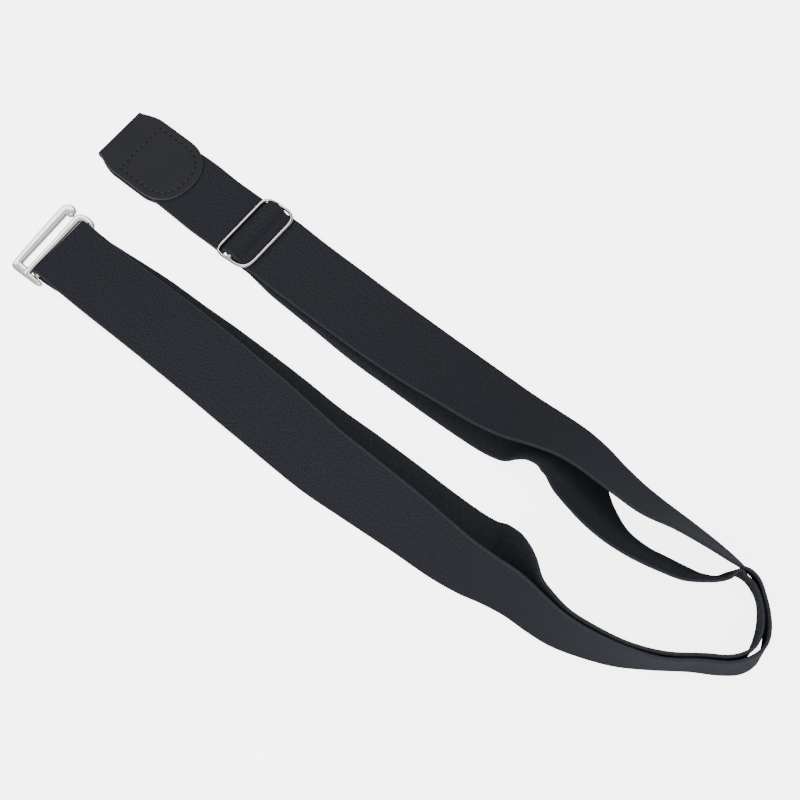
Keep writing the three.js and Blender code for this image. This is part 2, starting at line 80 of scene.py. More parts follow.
# The slider
slider_middle = 57.6
slider_half = strap_width / 2 + gap + wire_radius
slider_length = 16.7
left_corner = 4.2
right_corner = 6.0
left_bar = (56.3, strap_thick + gap + wire_radius)
right_bar = (left_bar[0] + slider_length, 2 * strap_thick + 3 * gap + 1.2 + wire_radius)
bar_rise = (right_bar[1] - left_bar[1]) / slider_length
centre_bar = (left_bar[0] + 0.4 * slider_length, left_bar[1] + 0.4 * (right_bar[1] - left_bar[1]))
loop_radius = wire_radius + gap + strap_thick / 2
cross_radius = loop_radius + strap_thick + gap + 0.05

# The leather tab
tab_fold = -12.0
tab_tip = 29.5
tab_root = 15.0
tab_shoulder = 0.0
tab_half = 15.6
fold_half = 12.7
tab_middle = 57.3
tab_layer = leather_thick + gap + strap_thick / 2
tab_top = 2 * (leather_thick + gap) + strap_thick
tab_roundness = 0.9  # power of the round end's sine and cosine: under 1 makes it squarer
tab_ease = 2.0  # length of the straight flank beside the fold
tab_rim = 0.3  # radius of the cut edge's rounding
tab_columns = 150
sewing_inset = 3.1
sewing_start = 0.9
sewing_dip = 0.10

# Each layer's lower edge: place, height and lean from flat in degrees. Along and across are shares of
# reach and spread, rise is a share of the strap's width.
outer_layer = np.array([
    # along, across, rise, lean
    (0.242, 0.811, 0.060, 0), (0.273, 0.808, 0.055, 1), (0.339, 0.807, 0.055, 2), (0.394, 0.806, 0.055, 4),
    (0.455, 0.808, 0.052, 8), (0.509, 0.812, 0.045, 14), (0.561, 0.816, 0.040, 19),
    (0.600, 0.820, 0.034, 26), (0.633, 0.829, 0.024, 34), (0.670, 0.837, 0.010, 40), (0.703, 0.829, 0, 44),
    (0.733, 0.808, 0, 48), (0.764, 0.792, 0, 51), (0.794, 0.786, 0, 53), (0.833, 0.784, 0, 59),
    (0.873, 0.779, 0, 63), (0.903, 0.769, 0, 66), (0.921, 0.756, 0, 69), (0.938, 0.738, 0, 73),
    (0.953, 0.695, 0, 77), (0.967, 0.634, 0, 80), (0.978, 0.573, 0, 83), (0.987, 0.502, 0, 86),
    (0.989, 0.437, 0, 89), (0.982, 0.374, 0, 92), (0.965, 0.318, 0, 96), (0.936, 0.250, 0, 97),
    (0.903, 0.160, 0, 97), (0.867, 0.072, 0, 91), (0.824, 0.003, 0, 85), (0.794, -0.030, 0, 80),
    (0.764, -0.042, 0, 76), (0.736, -0.047, 0, 73), (0.706, -0.067, 0, 70), (0.679, -0.094, 0, 65),
    (0.642, -0.116, 0, 59), (0.588, -0.129, 0, 53), (0.518, -0.150, 0, 45), (0.461, -0.166, 0, 37),
    (0.412, -0.165, 0, 31), (0.373, -0.161, 0.004, 26), (0.330, -0.158, 0.012, 22),
    (0.291, -0.154, 0.026, 18), (0.239, -0.150, 0.040, 13), (0.194, -0.148, 0.052, 8),
    (0.152, -0.147, 0.055, 5), (0.115, -0.147, 0.060, 3), (0.079, -0.147, 0.085, 1),
    (0.048, -0.147, 0.120, 0),
])
inner_layer = np.array([
    # along, across, rise, lean
    (0.045, -0.144, 0, 0), (0.091, -0.128, 0, 0), (0.158, -0.107, 0, 0), (0.212, -0.102, 0, 0),
    (0.267, -0.094, 0, 0), (0.364, -0.092, 0, 0), (0.427, -0.098, 0, 0), (0.485, -0.091, 0, 0),
    (0.545, -0.088, 0, 0), (0.600, -0.088, 0, 0), (0.645, -0.084, 0, 1), (0.673, -0.080, 0, 7),
    (0.694, -0.062, 0, 14), (0.709, -0.048, 0, 27), (0.721, -0.030, 0, 42), (0.736, -0.022, 0, 57),
    (0.755, -0.020, 0, 70), (0.776, -0.008, 0, 77), (0.803, 0.010, 0, 83), (0.836, 0.051, 0, 88),
    (0.870, 0.108, 0, 93), (0.903, 0.188, 0, 97), (0.936, 0.278, 0, 97), (0.958, 0.344, 0, 98),
    (0.972, 0.400, 0, 95), (0.976, 0.446, 0, 91), (0.975, 0.496, 0, 88), (0.967, 0.580, 0, 83),
    (0.952, 0.662, 0, 77.5), (0.939, 0.697, 0, 74.5), (0.922, 0.716, 0, 74), (0.905, 0.699, 0, 75),
    (0.896, 0.652, 0, 72), (0.880, 0.620, 0, 67), (0.864, 0.606, 0, 62), (0.836, 0.586, 0, 60),
    (0.815, 0.572, 0, 59), (0.785, 0.577, 0, 55), (0.758, 0.618, 0, 47), (0.736, 0.672, 0, 38),
    (0.715, 0.734, 0, 33), (0.697, 0.769, 0, 31), (0.676, 0.788, 0, 32), (0.652, 0.803, 0, 28),
    (0.630, 0.800, 0, 20), (0.612, 0.797, 0, 9), (0.591, 0.791, 0, 4), (0.561, 0.787, 0, 1),
    (0.515, 0.781, 0, 0), (0.455, 0.776, 0, 0), (0.394, 0.772, 0, 0), (0.339, 0.780, 0, 0),
    (0.298, 0.785, 0, 0), (0.270, 0.789, 0, 0), (0.242, 0.803, 0, 0),
])

# The buckle's two flat pieces, from end to end: the places of both edges, ahead as shares of the buckle's
# length and aside as shares of its half width.
hook_edges = np.array([
    # ahead, aside, inner ahead, inner aside
    (0.000, 0.860, -0.110, 0.765), (-0.040, 0.960, -0.126, 0.760), (-0.155, 1.000, -0.135, 0.752),
    (-0.290, 0.960, -0.140, 0.744), (-0.365, 0.850, -0.140, 0.730), (-0.370, 0.700, -0.134, 0.675),
    (-0.316, -0.055, -0.095, -0.055), (-0.248, -0.760, -0.063, -0.710), (-0.232, -0.885, -0.056, -0.750),
    (-0.205, -0.960, -0.038, -0.775), (-0.125, -0.990, 0.000, -0.785), (0.030, -0.995, 0.040, -0.785),
    (0.140, -0.995, 0.140, -0.780),
])
frame_edges = np.array([
    # ahead, aside, inner ahead, inner aside
    (0.589, 0.901, 0.563, 0.849), (0.569, 0.945, 0.534, 0.843), (0.500, 0.984, 0.483, 0.841),
    (0.322, 1.000, 0.379, 0.841), (0.207, 0.984, 0.310, 0.846), (0.109, 0.929, 0.259, 0.835),
    (0.052, 0.846, 0.236, 0.791), (0.049, 0.725, 0.233, 0.698), (0.092, 0.060, 0.253, 0.159),
    (0.126, -0.703, 0.270, -0.648), (0.141, -0.868, 0.279, -0.758), (0.155, -0.980, 0.305, -0.848),
    (0.345, -0.984, 0.391, -0.850), (0.534, -0.982, 0.517, -0.852), (0.632, -0.965, 0.585, -0.856),
    (0.672, -0.925, 0.622, -0.863),
])

# The drawing's origin in the row frame, read from the place of the tab's solid
tab_low, tab_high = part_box("leather_tab")
origin = np.array([
    tab_low.x * 1000 - tab_fold,
    (tab_low.y + tab_high.y) * 500 - tab_middle,
    tab_low.z * 1000,
])


# Meshes
def make_piece(name, points, faces, uv=None, values=None, smooth=True):
    """A mesh object at the origin: points in drawing millimetres become metres in the row frame.

    uv holds one pair of metres for each corner of each face, values holds named numbers for each point.
    """
    mesh = bpy.data.meshes.new(name)
    mesh.from_pydata(((points + origin) / 1000).tolist(), [], [list(face) for face in faces])
    if uv is not None:
        layer = mesh.uv_layers.new(name="real_size")
        layer.data.foreach_set("uv", uv.ravel())
    for label, numbers in (values or {}).items():
        attribute = mesh.attributes.new(label, "FLOAT", "POINT")
        attribute.data.foreach_set("value", numbers.ravel())
    mesh.polygons.foreach_set("use_smooth", np.full(len(mesh.polygons), smooth))
    mesh.update()
    piece = bpy.data.objects.new(name, mesh)
    bpy.context.scene.collection.objects.link(piece)
    return piece


def grid_faces(rows, columns, closed_rows=False):
    """Quads between neighbouring rows and columns; columns always close on themselves."""
    i = np.arange(rows if closed_rows else rows - 1)[:, None]
    j = np.arange(columns)[None, :]
    here, ahead = i * columns, ((i + 1) % rows) * columns
    k = (j + 1) % columns
    return np.stack([here + j, here + k, ahead + k, ahead + j], axis=-1).reshape(-1, 4)


def tube_piece(name, rings, lengths=None, around=None, closed=False, values=None):
    """A closed surface through rings of points, shaped (rows, columns, 3), capped at both ends unless closed.

    Its UV map holds lengths[row] and around[column], both in millimetres before they are made metres.
    """
    rows, columns = rings.shape[:2]
    quads = grid_faces(rows, columns, closed)
    faces = quads.tolist()
    if not closed:
        last = (rows - 1) * columns
        faces.append(list(range(columns))[::-1])
        faces.append([last + j for j in range(columns)])
    uv = None
    if lengths is not None:
        steps = len(quads) // columns
        i = np.repeat(np.arange(steps), columns)
        j = np.tile(np.arange(columns), steps)
        u = np.stack([lengths[i], lengths[i], lengths[i + 1], lengths[i + 1]], axis=1)
        v = np.stack([around[j], around[j + 1], around[j + 1], around[j]], axis=1)
        uv = np.stack([u, v], axis=-1).reshape(-1, 2)
        if not closed:
            ends = np.concatenate([
                np.stack([np.full(columns, lengths[0]), around[:-1][::-1]], axis=1),
                np.stack([np.full(columns, lengths[-1]), around[:-1]], axis=1),
            ])
            uv = np.concatenate([uv, ends])
        uv = uv / 1000
    return make_piece(name, rings.reshape(-1, 3), faces, uv, values)


def unit(vectors):
    return vectors / np.linalg.norm(vectors, axis=-1, keepdims=True)


def wire_rings(path, radius, sides=24, closed=False):
    """Rings of a round wire: each is a circle square to the path, with one axis kept level."""
    if closed:
        along = unit(np.roll(path, -1, axis=0) - np.roll(path, 1, axis=0))
    else:
        along = unit(np.gradient(path, axis=0))
    side = unit(np.cross([0.0, 0.0, 1.0], along))
    top = np.cross(along, side)
    turn = np.linspace(0, 2 * np.pi, sides, endpoint=False)
    circle = np.cos(turn)[None, :, None] * side[:, None] + np.sin(turn)[None, :, None] * top[:, None]
    return path[:, None] + radius * circle


def path_length(path):
    """Distance along a path at each of its points."""
    return np.concatenate([[0.0], np.cumsum(np.linalg.norm(np.diff(path, axis=0), axis=1))])


def even_path(path, step):
    """Points at an even spacing near step along a path."""
    run = path_length(path)
    places = np.linspace(0, run[-1], max(int(round(run[-1] / step)), 1) + 1)
    return np.stack([np.interp(places, run, path[:, k]) for k in range(path.shape[1])], axis=1)


def curve_through(points, steps):
    """Centripetal Catmull-Rom curve at even steps of its rows, with its derivative."""
    points = np.asarray(points, float)
    padded = np.vstack([2 * points[0] - points[1], points, 2 * points[-1] - points[-2]])
    place = np.linspace(0, len(points) - 1, steps + 1)
    row = np.clip(place.astype(int), 0, len(points) - 2)
    t = (place - row)[:, None]
    a, b, c, d = (padded[row + k] for k in range(4))
    before, span, after = (
        np.sqrt(np.linalg.norm(q - p, axis=1, keepdims=True)) for p, q in ((a, b), (b, c), (c, d))
    )
    leave = ((b - a) / before - (c - a) / (before + span) + (c - b) / span) * span
    arrive = ((c - b) / span - (d - b) / (span + after) + (d - c) / after) * span
    square = -3 * b + 3 * c - 2 * leave - arrive
    cube = 2 * b - 2 * c + leave + arrive
    return b + leave * t + square * t**2 + cube * t**3, leave + 2 * square * t + 3 * cube * t**2


def smooth_leans(leans, steps):
    """Cubic through the rows' leans, with the mean of its neighbours' slopes at each row."""
    place = np.linspace(0, len(leans) - 1, steps + 1)
    row = np.clip(place.astype(int), 0, len(leans) - 2)
    t = place - row
    before, after = leans[np.maximum(row - 1, 0)], leans[np.minimum(row + 2, len(leans) - 1)]
    here, ahead = leans[row], leans[row + 1]
    return (
        (2 * t**3 - 3 * t**2 + 1) * here
        + (t**3 - 2 * t**2 + t) * 0.5 * (ahead - before)
        + (3 * t**2 - 2 * t**3) * ahead
        + (t**3 - t**2) * 0.5 * (after - here)
    )


# The strap's run
def layer_sections(rows, inside):
    """One layer: its lower edge, the direction across the band towards the loop's inside, and its width.

    The heading is a running mean over the neighbouring steps, and the lean tilts the band up from it.
    """
    edge, slope = curve_through(rows[:, :3] * [reach, spread, strap_width], layer_steps)
    tangent = unit(slope)
    total = np.vstack([np.zeros(3), np.cumsum(tangent, axis=0)])
    index = np.arange(layer_steps + 1)
    span = np.minimum(heading_span, np.minimum(index, layer_steps - index))
    heading = total[index + span + 1] - total[index - span]
    heading[:, 2] = 0
    heading = unit(heading)
    turn = np.radians(smooth_leans(rows[:, 3], layer_steps))
    across = np.stack([
        -inside * heading[:, 1] * np.cos(turn),
        inside * heading[:, 0] * np.cos(turn),
        np.sin(turn),
    ], axis=1)
    edge[:, 2] += 0.5 * strap_thick * np.abs(np.cos(turn))
    return edge, across, np.full(len(edge), strap_width)


def profile_sections(profile, towards, start, end):
    """Sections square to a side profile of rows x, z, width, whose middle eases from start to end."""
    x, z, width = profile.T
    share = np.clip((x - start[0]) / (end[0] - start[0]), 0, 1)
    middle = start[1] + (end[1] - start[1]) * share**2 * (3 - 2 * share)
    edge = np.stack([x, middle - towards * width / 2, z], axis=1)
    across = np.tile([0.0, towards, 0.0], (len(x), 1))
    return edge, across, width


def arc_rows(centre, radius, start, end, count, width):
    """Rows x, z, width on an arc of a side profile, with angles in degrees."""
    turn = np.radians(np.linspace(start, end, count))
    return np.stack([
        centre[0] + radius * np.cos(turn),
        centre[1] + radius * np.sin(turn),
        np.full(count, width),
    ], axis=1)


def through_slider():
    """From inside the leather tab, under the left bar, over the centre bar and under the right bar."""
    low = strap_thick / 2
    under_right = right_bar[1] - wire_radius - 2 * gap - low
    full = strap_width
    rows = np.vstack([
        (tab_shoulder + 2.6, tab_layer, full - 2),
        (tab_root, tab_layer, full - 1),
        (tab_tip + 1.5, tab_layer, full),
        (tab_tip + 6, 0.6 * tab_layer + 0.4 * low, full),
        (tab_tip + 12, low, full),
        (left_bar[0] - 5, low, full),
        (left_bar[0], low, full),
        (left_bar[0] + 1.6, low + 0.1, full - gap),
        (left_bar[0] + 2.7, low + 0.8, full - gap),
        arc_rows(centre_bar, cross_radius, 190, 80, 6, full - gap),
        (centre_bar[0] + 2.6, centre_bar[1] + cross_radius - 1.0, full - gap),
        (right_bar[0] - 4.5, under_right + 0.1, full - 2 * gap),
        (right_bar[0] - 2.5, under_right - 0.1, full),
        (right_bar[0], under_right - 0.2, full),
        (right_bar[0] + 2.2, under_right - 0.4, full),
    ])
    return curve_through(rows, 260)[0]


def round_buckle():
    """Round the buckle's bar, from the top layer down to the inner layer."""
    return np.vstack([
        (strap_bar[0] + flat_lead, strap_bar[1] + fold_radius - 0.1, strap_width),
        arc_rows(strap_bar, fold_radius, 90, 270, 33, strap_width),
        (strap_bar[0] + flat_lead, strap_thick / 2, strap_width),
    ])


def sewn_end():
    """Under the right bar and round the centre bar, ending between the layers."""
    low = strap_thick / 2
    rows = np.vstack([
        (right_bar[0] + 5, low, strap_width),
        (right_bar[0], low, strap_width),
        (centre_bar[0] + 4, low + 0.1, strap_width - gap),
        arc_rows(centre_bar, loop_radius, 270, 90, 9, strap_width - 2 * gap),
        (centre_bar[0] + 1.4, centre_bar[1] + loop_radius - 0.5, strap_width - 2 * gap),
        (centre_bar[0] + 3, 3 * low + gap + 0.8, strap_width - 2 * gap),
    ])
    return curve_through(rows, 120)[0]


def strap_sections():
    """The whole run of the strap, from the tab to its sewn end, as edges, directions across and widths."""
    far_middle = outer_layer[0, 1] * spread - strap_width / 2
    near_middle = outer_layer[-1, 1] * spread + strap_width / 2
    sewn_middle = inner_layer[-1, 1] * spread - strap_width / 2
    through = through_slider()
    before = through[:, 0] < centre_bar[0]
    at_tab = (tab_tip, tab_middle)
    at_left = (left_bar[0] - flat_lead, slider_middle)
    at_right = (right_bar[0], (slider_middle + far_middle) / 2)
    parts = [
        profile_sections(through[before], -1, at_tab, at_left),
        profile_sections(through[~before], -1, at_right, (right_bar[0] + flat_lead, far_middle)),
        layer_sections(outer_layer, -1),
        profile_sections(round_buckle(), 1, (0, near_middle), (1, near_middle)),
        layer_sections(inner_layer, 1),
        profile_sections(sewn_end(), -1, at_right, (right_bar[0] + 5, sewn_middle)),
    ]
    return tuple(np.concatenate(columns) for columns in zip(*parts))


def band_profile():
    """One section of the webbing: two faces joined by rounded selvedges.

    Gives the share across, the millimetres added at each selvedge, and the offset in half thicknesses. The
    face with the visible twill comes first.
    """
    share = np.linspace(0, 1, face_points)
    turn = np.linspace(-np.pi / 2, np.pi / 2, selvedge_points + 2)[1:-1]
    bulge = selvedge_round * (np.cos(turn) - 1)
    share_all = np.concatenate([share, np.ones(selvedge_points), share[::-1], np.zeros(selvedge_points)])
    inset = np.concatenate([
        np.where(share == 0, selvedge_round, np.where(share == 1, -selvedge_round, 0)),
        bulge,
        np.where(share[::-1] == 0, selvedge_round, np.where(share[::-1] == 1, -selvedge_round, 0)),
        -bulge,
    ])
    offset = np.concatenate([-np.ones(face_points), np.sin(turn), np.ones(face_points), -np.sin(turn)])
    return share_all, inset, offset


def make_strap():
    """The webbing: the band's profile carried along the run, its face and its back in two materials."""
    edge, across, width = strap_sections()
    middle = edge + across * width[:, None] / 2
    along = unit(np.gradient(middle, axis=0))
    normal = unit(np.cross(along, across))
    share, inset, offset = band_profile()
    run = path_length(middle)
    a = share[None, :] * width[:, None] + inset[None, :]
    rings = (
        edge[:, None]
        + across[:, None] * a[..., None]
        + normal[:, None] * (offset * strap_thick / 2)[None, :, None]
    )
    count = len(share)
    half = count // 2
    around = np.concatenate([
        share[:half] * strap_width,
        strap_width * 2 - share[half:] * strap_width,
        [strap_width * 2],
    ])
    strap = tube_piece("webbing_strap", rings, run, around)
    column = np.arange(count)
    back = (column >= face_points + selvedge_points // 2) & (column < count - selvedge_points // 2)
    finish = np.concatenate([np.tile(back, len(rings) - 1), [False, False]]).astype(np.int32)
    strap.data.polygons.foreach_set("material_index", finish)
    return strap


# The leather tab
def tab_width(x):
    """Half the tab's width at a place: the narrower fold, straight sides, then a rounded end."""
    shoulder = np.clip((x - tab_fold - tab_ease) / (tab_shoulder - tab_fold - tab_ease), 0, 1)
    sides = fold_half + (tab_half - fold_half) * np.sin(shoulder * np.pi / 2)
    cosine = np.clip((x - tab_root) / (tab_tip - tab_root), 0, 1) ** (1 / tab_roundness)
    return np.where(x > tab_root, tab_half * np.sqrt(np.maximum(1 - cosine**2, 0)) ** tab_roundness, sides)


def tab_outline(inset=0.0):
    """The tab's cut edge from above, from the fold round the end and back, moved in by inset."""
    turn = np.linspace(0, np.pi / 2, 60)
    x = np.concatenate([
        np.linspace(tab_fold, tab_root, 80)[:-1],
        tab_root + (tab_tip - tab_root) * np.sin(turn) ** tab_roundness,
    ])
    y = tab_width(x)
    upper = np.stack([x, y], axis=1)
    outline = np.vstack([upper, (upper * [1, -1])[::-1][1:]])
    if inset:
        slope = unit(np.gradient(outline, axis=0))
        outline = outline + inset * np.stack([slope[:, 1], -slope[:, 0]], axis=1)
    return outline + [0, tab_middle]


def sewing_line():
    """The tab's sewing seen from above: across the strap's end, along both sides and round the end."""
    outline = tab_outline(sewing_inset)
    kept = outline[outline[:, 0] > sewing_start + 1]
    first = np.array([[sewing_start, kept[0, 1]]])
    last = np.array([[sewing_start, kept[-1, 1]]])
    return np.vstack([first, kept, last, first])


def nearest(points, others):
    """Distance from each point to the nearest of the others."""
    flat = points.reshape(-1, points.shape[-1])
    parts = [
        np.linalg.norm(chunk[:, None] - others[None], axis=2).min(axis=1)
        for chunk in np.array_split(flat, distance_chunks)
    ]
    return np.concatenate(parts).reshape(points.shape[:-1])


def tab_surface(x, y):
    """Height of the upper ply's top: pressed down a little along the sewing and more at each hole."""
    plan = np.stack([x, y], axis=-1)
    line = even_path(sewing_line(), 0.4)
    holes = even_path(sewing_line(), sew_step)
    pressed = sewing_dip * np.exp(-((nearest(plan, line) / 0.9) ** 2))
    punched = 0.42 * np.exp(-((nearest(plan, holes) / 0.42) ** 2))
    return tab_top - pressed - punched


def make_tab():
    """A folded strip of leather: two flat plies and a half-round fold, with rounded cut edges.

    Each row crosses the strip at one place along it. The thickness falls to nothing in a quarter circle
    over the rim, and the rows come together at both rounded ends.
    """
    outer = tab_top / 2
    turn = np.linspace(0, np.pi / 2, 48)
    tip_rows = tab_root + (tab_tip - tab_root - 0.001) * np.cos(turn) ** tab_roundness
    flat_rows = np.linspace(tab_root, tab_fold + outer, 96)[1:]
    ply_x = np.concatenate([tip_rows, flat_rows])
    bend = np.linspace(np.pi / 2, 3 * np.pi / 2, 22)[1:-1]
    x = np.concatenate([ply_x, tab_fold + outer + 0 * bend, ply_x[::-1]])
    swing = np.concatenate([np.full(len(ply_x), np.pi / 2), bend, np.full(len(ply_x), 3 * np.pi / 2)])
    half = tab_width(np.where(np.abs(swing - np.pi) < np.pi / 2 - 1e-6, tab_fold + outer, x))
    side = -np.cos(np.linspace(0, np.pi, tab_columns))
    even = np.linspace(-1, 1, tab_columns)
    side = 0.35 * side + 0.65 * even
    side = np.sign(side) * (1 - (1 - np.abs(side)) ** 1.35)
    plan_x = np.repeat(x[:, None], len(side), axis=1)
    plan_y = half[:, None] * side[None, :]
    distance = nearest(np.stack([plan_x, plan_y + tab_middle], axis=-1), even_path(tab_outline(), 0.1))
    thin = leather_thick / 2 * np.sqrt(1 - (1 - np.minimum(distance, tab_rim) / tab_rim) ** 2)
    radius = outer - leather_thick / 2
    cosine, sine = np.cos(swing)[:, None], np.sin(swing)[:, None]
    top_dip = np.where(
        (sine > 0.999), tab_surface(plan_x, plan_y + tab_middle) - tab_top, 0.0
    ) * (distance > tab_rim)
    centre = tab_fold + outer
    bent = np.abs(cosine) > 1e-6
    outside = radius + thin
    inside = radius - thin

    def ply(reach_out, dip):
        px = np.where(bent, centre + reach_out * cosine, plan_x)
        pz = outer + reach_out * sine + dip
        return np.stack([px, plan_y + tab_middle, pz], axis=-1)

    top = ply(outside, top_dip)
    under = ply(inside, 0.0)
    rings = np.concatenate([top, under[:, ::-1][:, 1:-1]], axis=1)
    wear = np.concatenate([distance, distance[:, ::-1][:, 1:-1]], axis=1)
    run = path_length(top[:, tab_columns // 2])
    columns = rings.shape[1]
    around = np.linspace(0, 4 * tab_half, columns + 1)
    return tube_piece("folded_tab", rings, run, around, values={"rim_distance": wear})


def make_sewing():
    """One thread for each pair of holes: a short arched tube whose ends go down into the holes."""
    holes = even_path(sewing_line(), sew_step)
    start, end = holes[:-1], holes[1:]
    share = np.linspace(-1, 1, 9)
    reach_out = 0.5 * (1 + 0.80 * share)
    x = start[:, :1] + (end - start)[:, :1] * reach_out[None]
    y = start[:, 1:] + (end - start)[:, 1:] * reach_out[None]
    z = tab_top - sewing_dip + 0.12 - 0.55 * np.abs(share[None]) ** 4 + 0 * x
    radius = 0.24
    sides = 8
    rings = np.stack([wire_rings(np.stack([a, b, c], axis=1), radius, sides) for a, b, c in zip(x, y, z)])
    one = grid_faces(len(share), sides).tolist()
    one.append(list(range(sides))[::-1])
    one.append([(len(share) - 1) * sides + j for j in range(sides)])
    size = len(share) * sides
    faces = [[corner + k * size for corner in face] for k in range(len(rings)) for face in one]
    return make_piece("tab_sewing", rings.reshape(-1, 3), faces)


# Metal
def rounded_outline(corners, radii, steps=10):
    """Corners of a plan rounded by quadratic curves, each with its own radius, as points (count, 2)."""
    corners = np.asarray(corners, float)
    parts = []
    neighbours = zip(np.roll(corners, 1, axis=0), corners, np.roll(corners, -1, axis=0), radii)
    for before, corner, after, radius in neighbours:
        back, ahead = before - corner, after - corner
        cosine = back @ ahead / (np.linalg.norm(back) * np.linalg.norm(ahead))
        half = np.arccos(cosine) / 2
        bite = min(radius / np.tan(half), 0.45 * np.linalg.norm(back), 0.45 * np.linalg.norm(ahead))
        start, end = corner + bite * unit(back), corner + bite * unit(ahead)
        t = np.linspace(0, 1, steps + 1)[:, None]
        parts.append((1 - t) ** 2 * start + 2 * t * (1 - t) * corner + t**2 * end)
    return np.vstack(parts)


def make_slider():
    """A round wire bent to a rounded frame, rising evenly from its left bar to its right bar."""
    low, high = slider_middle - slider_half, slider_middle + slider_half
    plan = rounded_outline(
        [(left_bar[0], low), (right_bar[0], low), (right_bar[0], high), (left_bar[0], high)],
        (left_corner, right_corner, right_corner, left_corner),
    )
    plan = even_path(np.vstack([plan, plan[:1]]), 0.4)[:-1]
    path = np.column_stack([plan, left_bar[1] + (plan[:, 0] - left_bar[0]) * bar_rise])
    return tube_piece("slider_wire", wire_rings(path, wire_radius, wire_sides, True), closed=True)


def make_slider_bar():
    """The slider's centre bar, a straight round wire that the strap hides."""
    across = np.linspace(slider_middle - slider_half, slider_middle + slider_half, bar_rings)
    path = np.column_stack([np.full(bar_rings, centre_bar[0]), across, np.full(bar_rings, centre_bar[1])])
    return tube_piece("slider_centre_bar", wire_rings(path, wire_radius, wire_sides))


def plate_piece(name, outer, inner, thick, rounding):
    """A plate between two edge lines of points, its long edges and both ends rounded by quarter circles.

    Each section is a rounded rectangle from the outer to the inner line, its rounding at most 0.8 of half
    its width. At the ends it steps outwards along the plate by the sine of an angle, as a share of the
    rounding, and the quarter circles shrink by its cosine.
    """
    middle = (outer + inner) / 2
    along = unit(np.gradient(middle, axis=0))
    across = inner - outer
    half = np.linalg.norm(across, axis=1) / 2
    across = unit(across)
    top = unit(np.cross(across, along))
    top = top * np.sign(top[:, 2:])
    quarter = np.radians(np.linspace(0, 90, 7))
    turn = np.concatenate([quarter + start for start in np.radians((0, 90, 180, 270))])
    side = np.repeat([1, -1, -1, 1], len(quarter))
    level = np.repeat([1, 1, -1, -1], len(quarter))
    ease = np.radians((80, 55, 28))
    steps = np.concatenate([[0, 0, 0], np.arange(len(outer)), [len(outer) - 1] * 3])
    angle = np.concatenate([ease, np.zeros(len(outer)), ease[::-1]])
    ahead = np.concatenate([-np.sin(ease), np.zeros(len(outer)), np.sin(ease[::-1])])
    rounding = np.minimum(rounding, 0.8 * half)[steps]
    ahead = (ahead * rounding)[:, None]
    radius = (rounding * np.cos(angle))[:, None]
    wide = side * (half[steps] - rounding)[:, None] + radius * np.cos(turn)
    tall = level * (thick / 2 - rounding)[:, None] + radius * np.sin(turn)
    rings = (
        (middle[steps] + along[steps] * ahead)[:, None]
        + across[steps][:, None] * wide[..., None]
        + top[steps][:, None] * tall[..., None]
    )
    return tube_piece(name, rings)


def edged_plate(name, rows):
    """A flat plate lying on the floor, its two edge lines smoothed through the rows of a table."""
    scale = [buckle_length, buckle_half]
    lines = []
    for columns in (rows[:, :2], rows[:, 2:]):
        line = curve_through(columns * scale, 12 * (len(rows) - 1))[0] + [0, buckle_middle]
        lines.append(np.column_stack([line, np.full(len(line), plate_thick / 2)]))
    return plate_piece(name, *lines, plate_thick, plate_rounding)


def make_buckle_rail():
    """The straight round bar that the strap turns round, between the arms."""
    half = buckle_half - 0.85 * arm_width
    across = np.linspace(buckle_middle - half, buckle_middle + half, bar_rings)
    path = np.column_stack([np.full(bar_rings, strap_bar[0]), across, np.full(bar_rings, strap_bar[1])])
    return tube_piece("buckle_rail", wire_rings(path, bar_radius, wire_sides))


# Materials
def linear(colour):
    """An sRGB hex colour as linear red, green, blue and alpha."""
    parts = np.array([int(colour[k:k + 2], 16) / 255 for k in (1, 3, 5)])
    light = np.where(parts <= 0.04045, parts / 12.92, ((parts + 0.055) / 1.055) ** 2.4)
    return (*light.tolist(), 1.0)


def add_node(tree, kind, inputs=None, **settings):
    """Adds a node: settings are its own options, and each input takes a value or another node's output."""
    node = tree.nodes.new(kind)
    for name, value in settings.items():
        setattr(node, name, value)
    colours = kind == "ShaderNodeMix" and settings.get("data_type") == "RGBA"
    for name, value in (inputs or {}).items():
        if colours and name in ("A", "B"):
            socket = next(entry for entry in node.inputs if entry.name == name and entry.type == "RGBA")
        else:
            socket = node.inputs[name]
        if isinstance(value, bpy.types.NodeSocket):
            tree.links.new(value, socket)
        else:
            socket.default_value = value
    return node


def mixed(node):
    """The colour that a Mix node gives."""
    return next(socket for socket in node.outputs if socket.type == "RGBA")


def new_material(name):
    """An empty material with its tree, its principled shader and its output joined."""
    made = bpy.data.materials.new(name)
    made.use_nodes = True
    tree = made.node_tree
    tree.nodes.clear()
    shader = add_node(tree, "ShaderNodeBsdfPrincipled")
    add_node(tree, "ShaderNodeOutputMaterial", {"Surface": shader.outputs["BSDF"]})
    return made, tree, shader


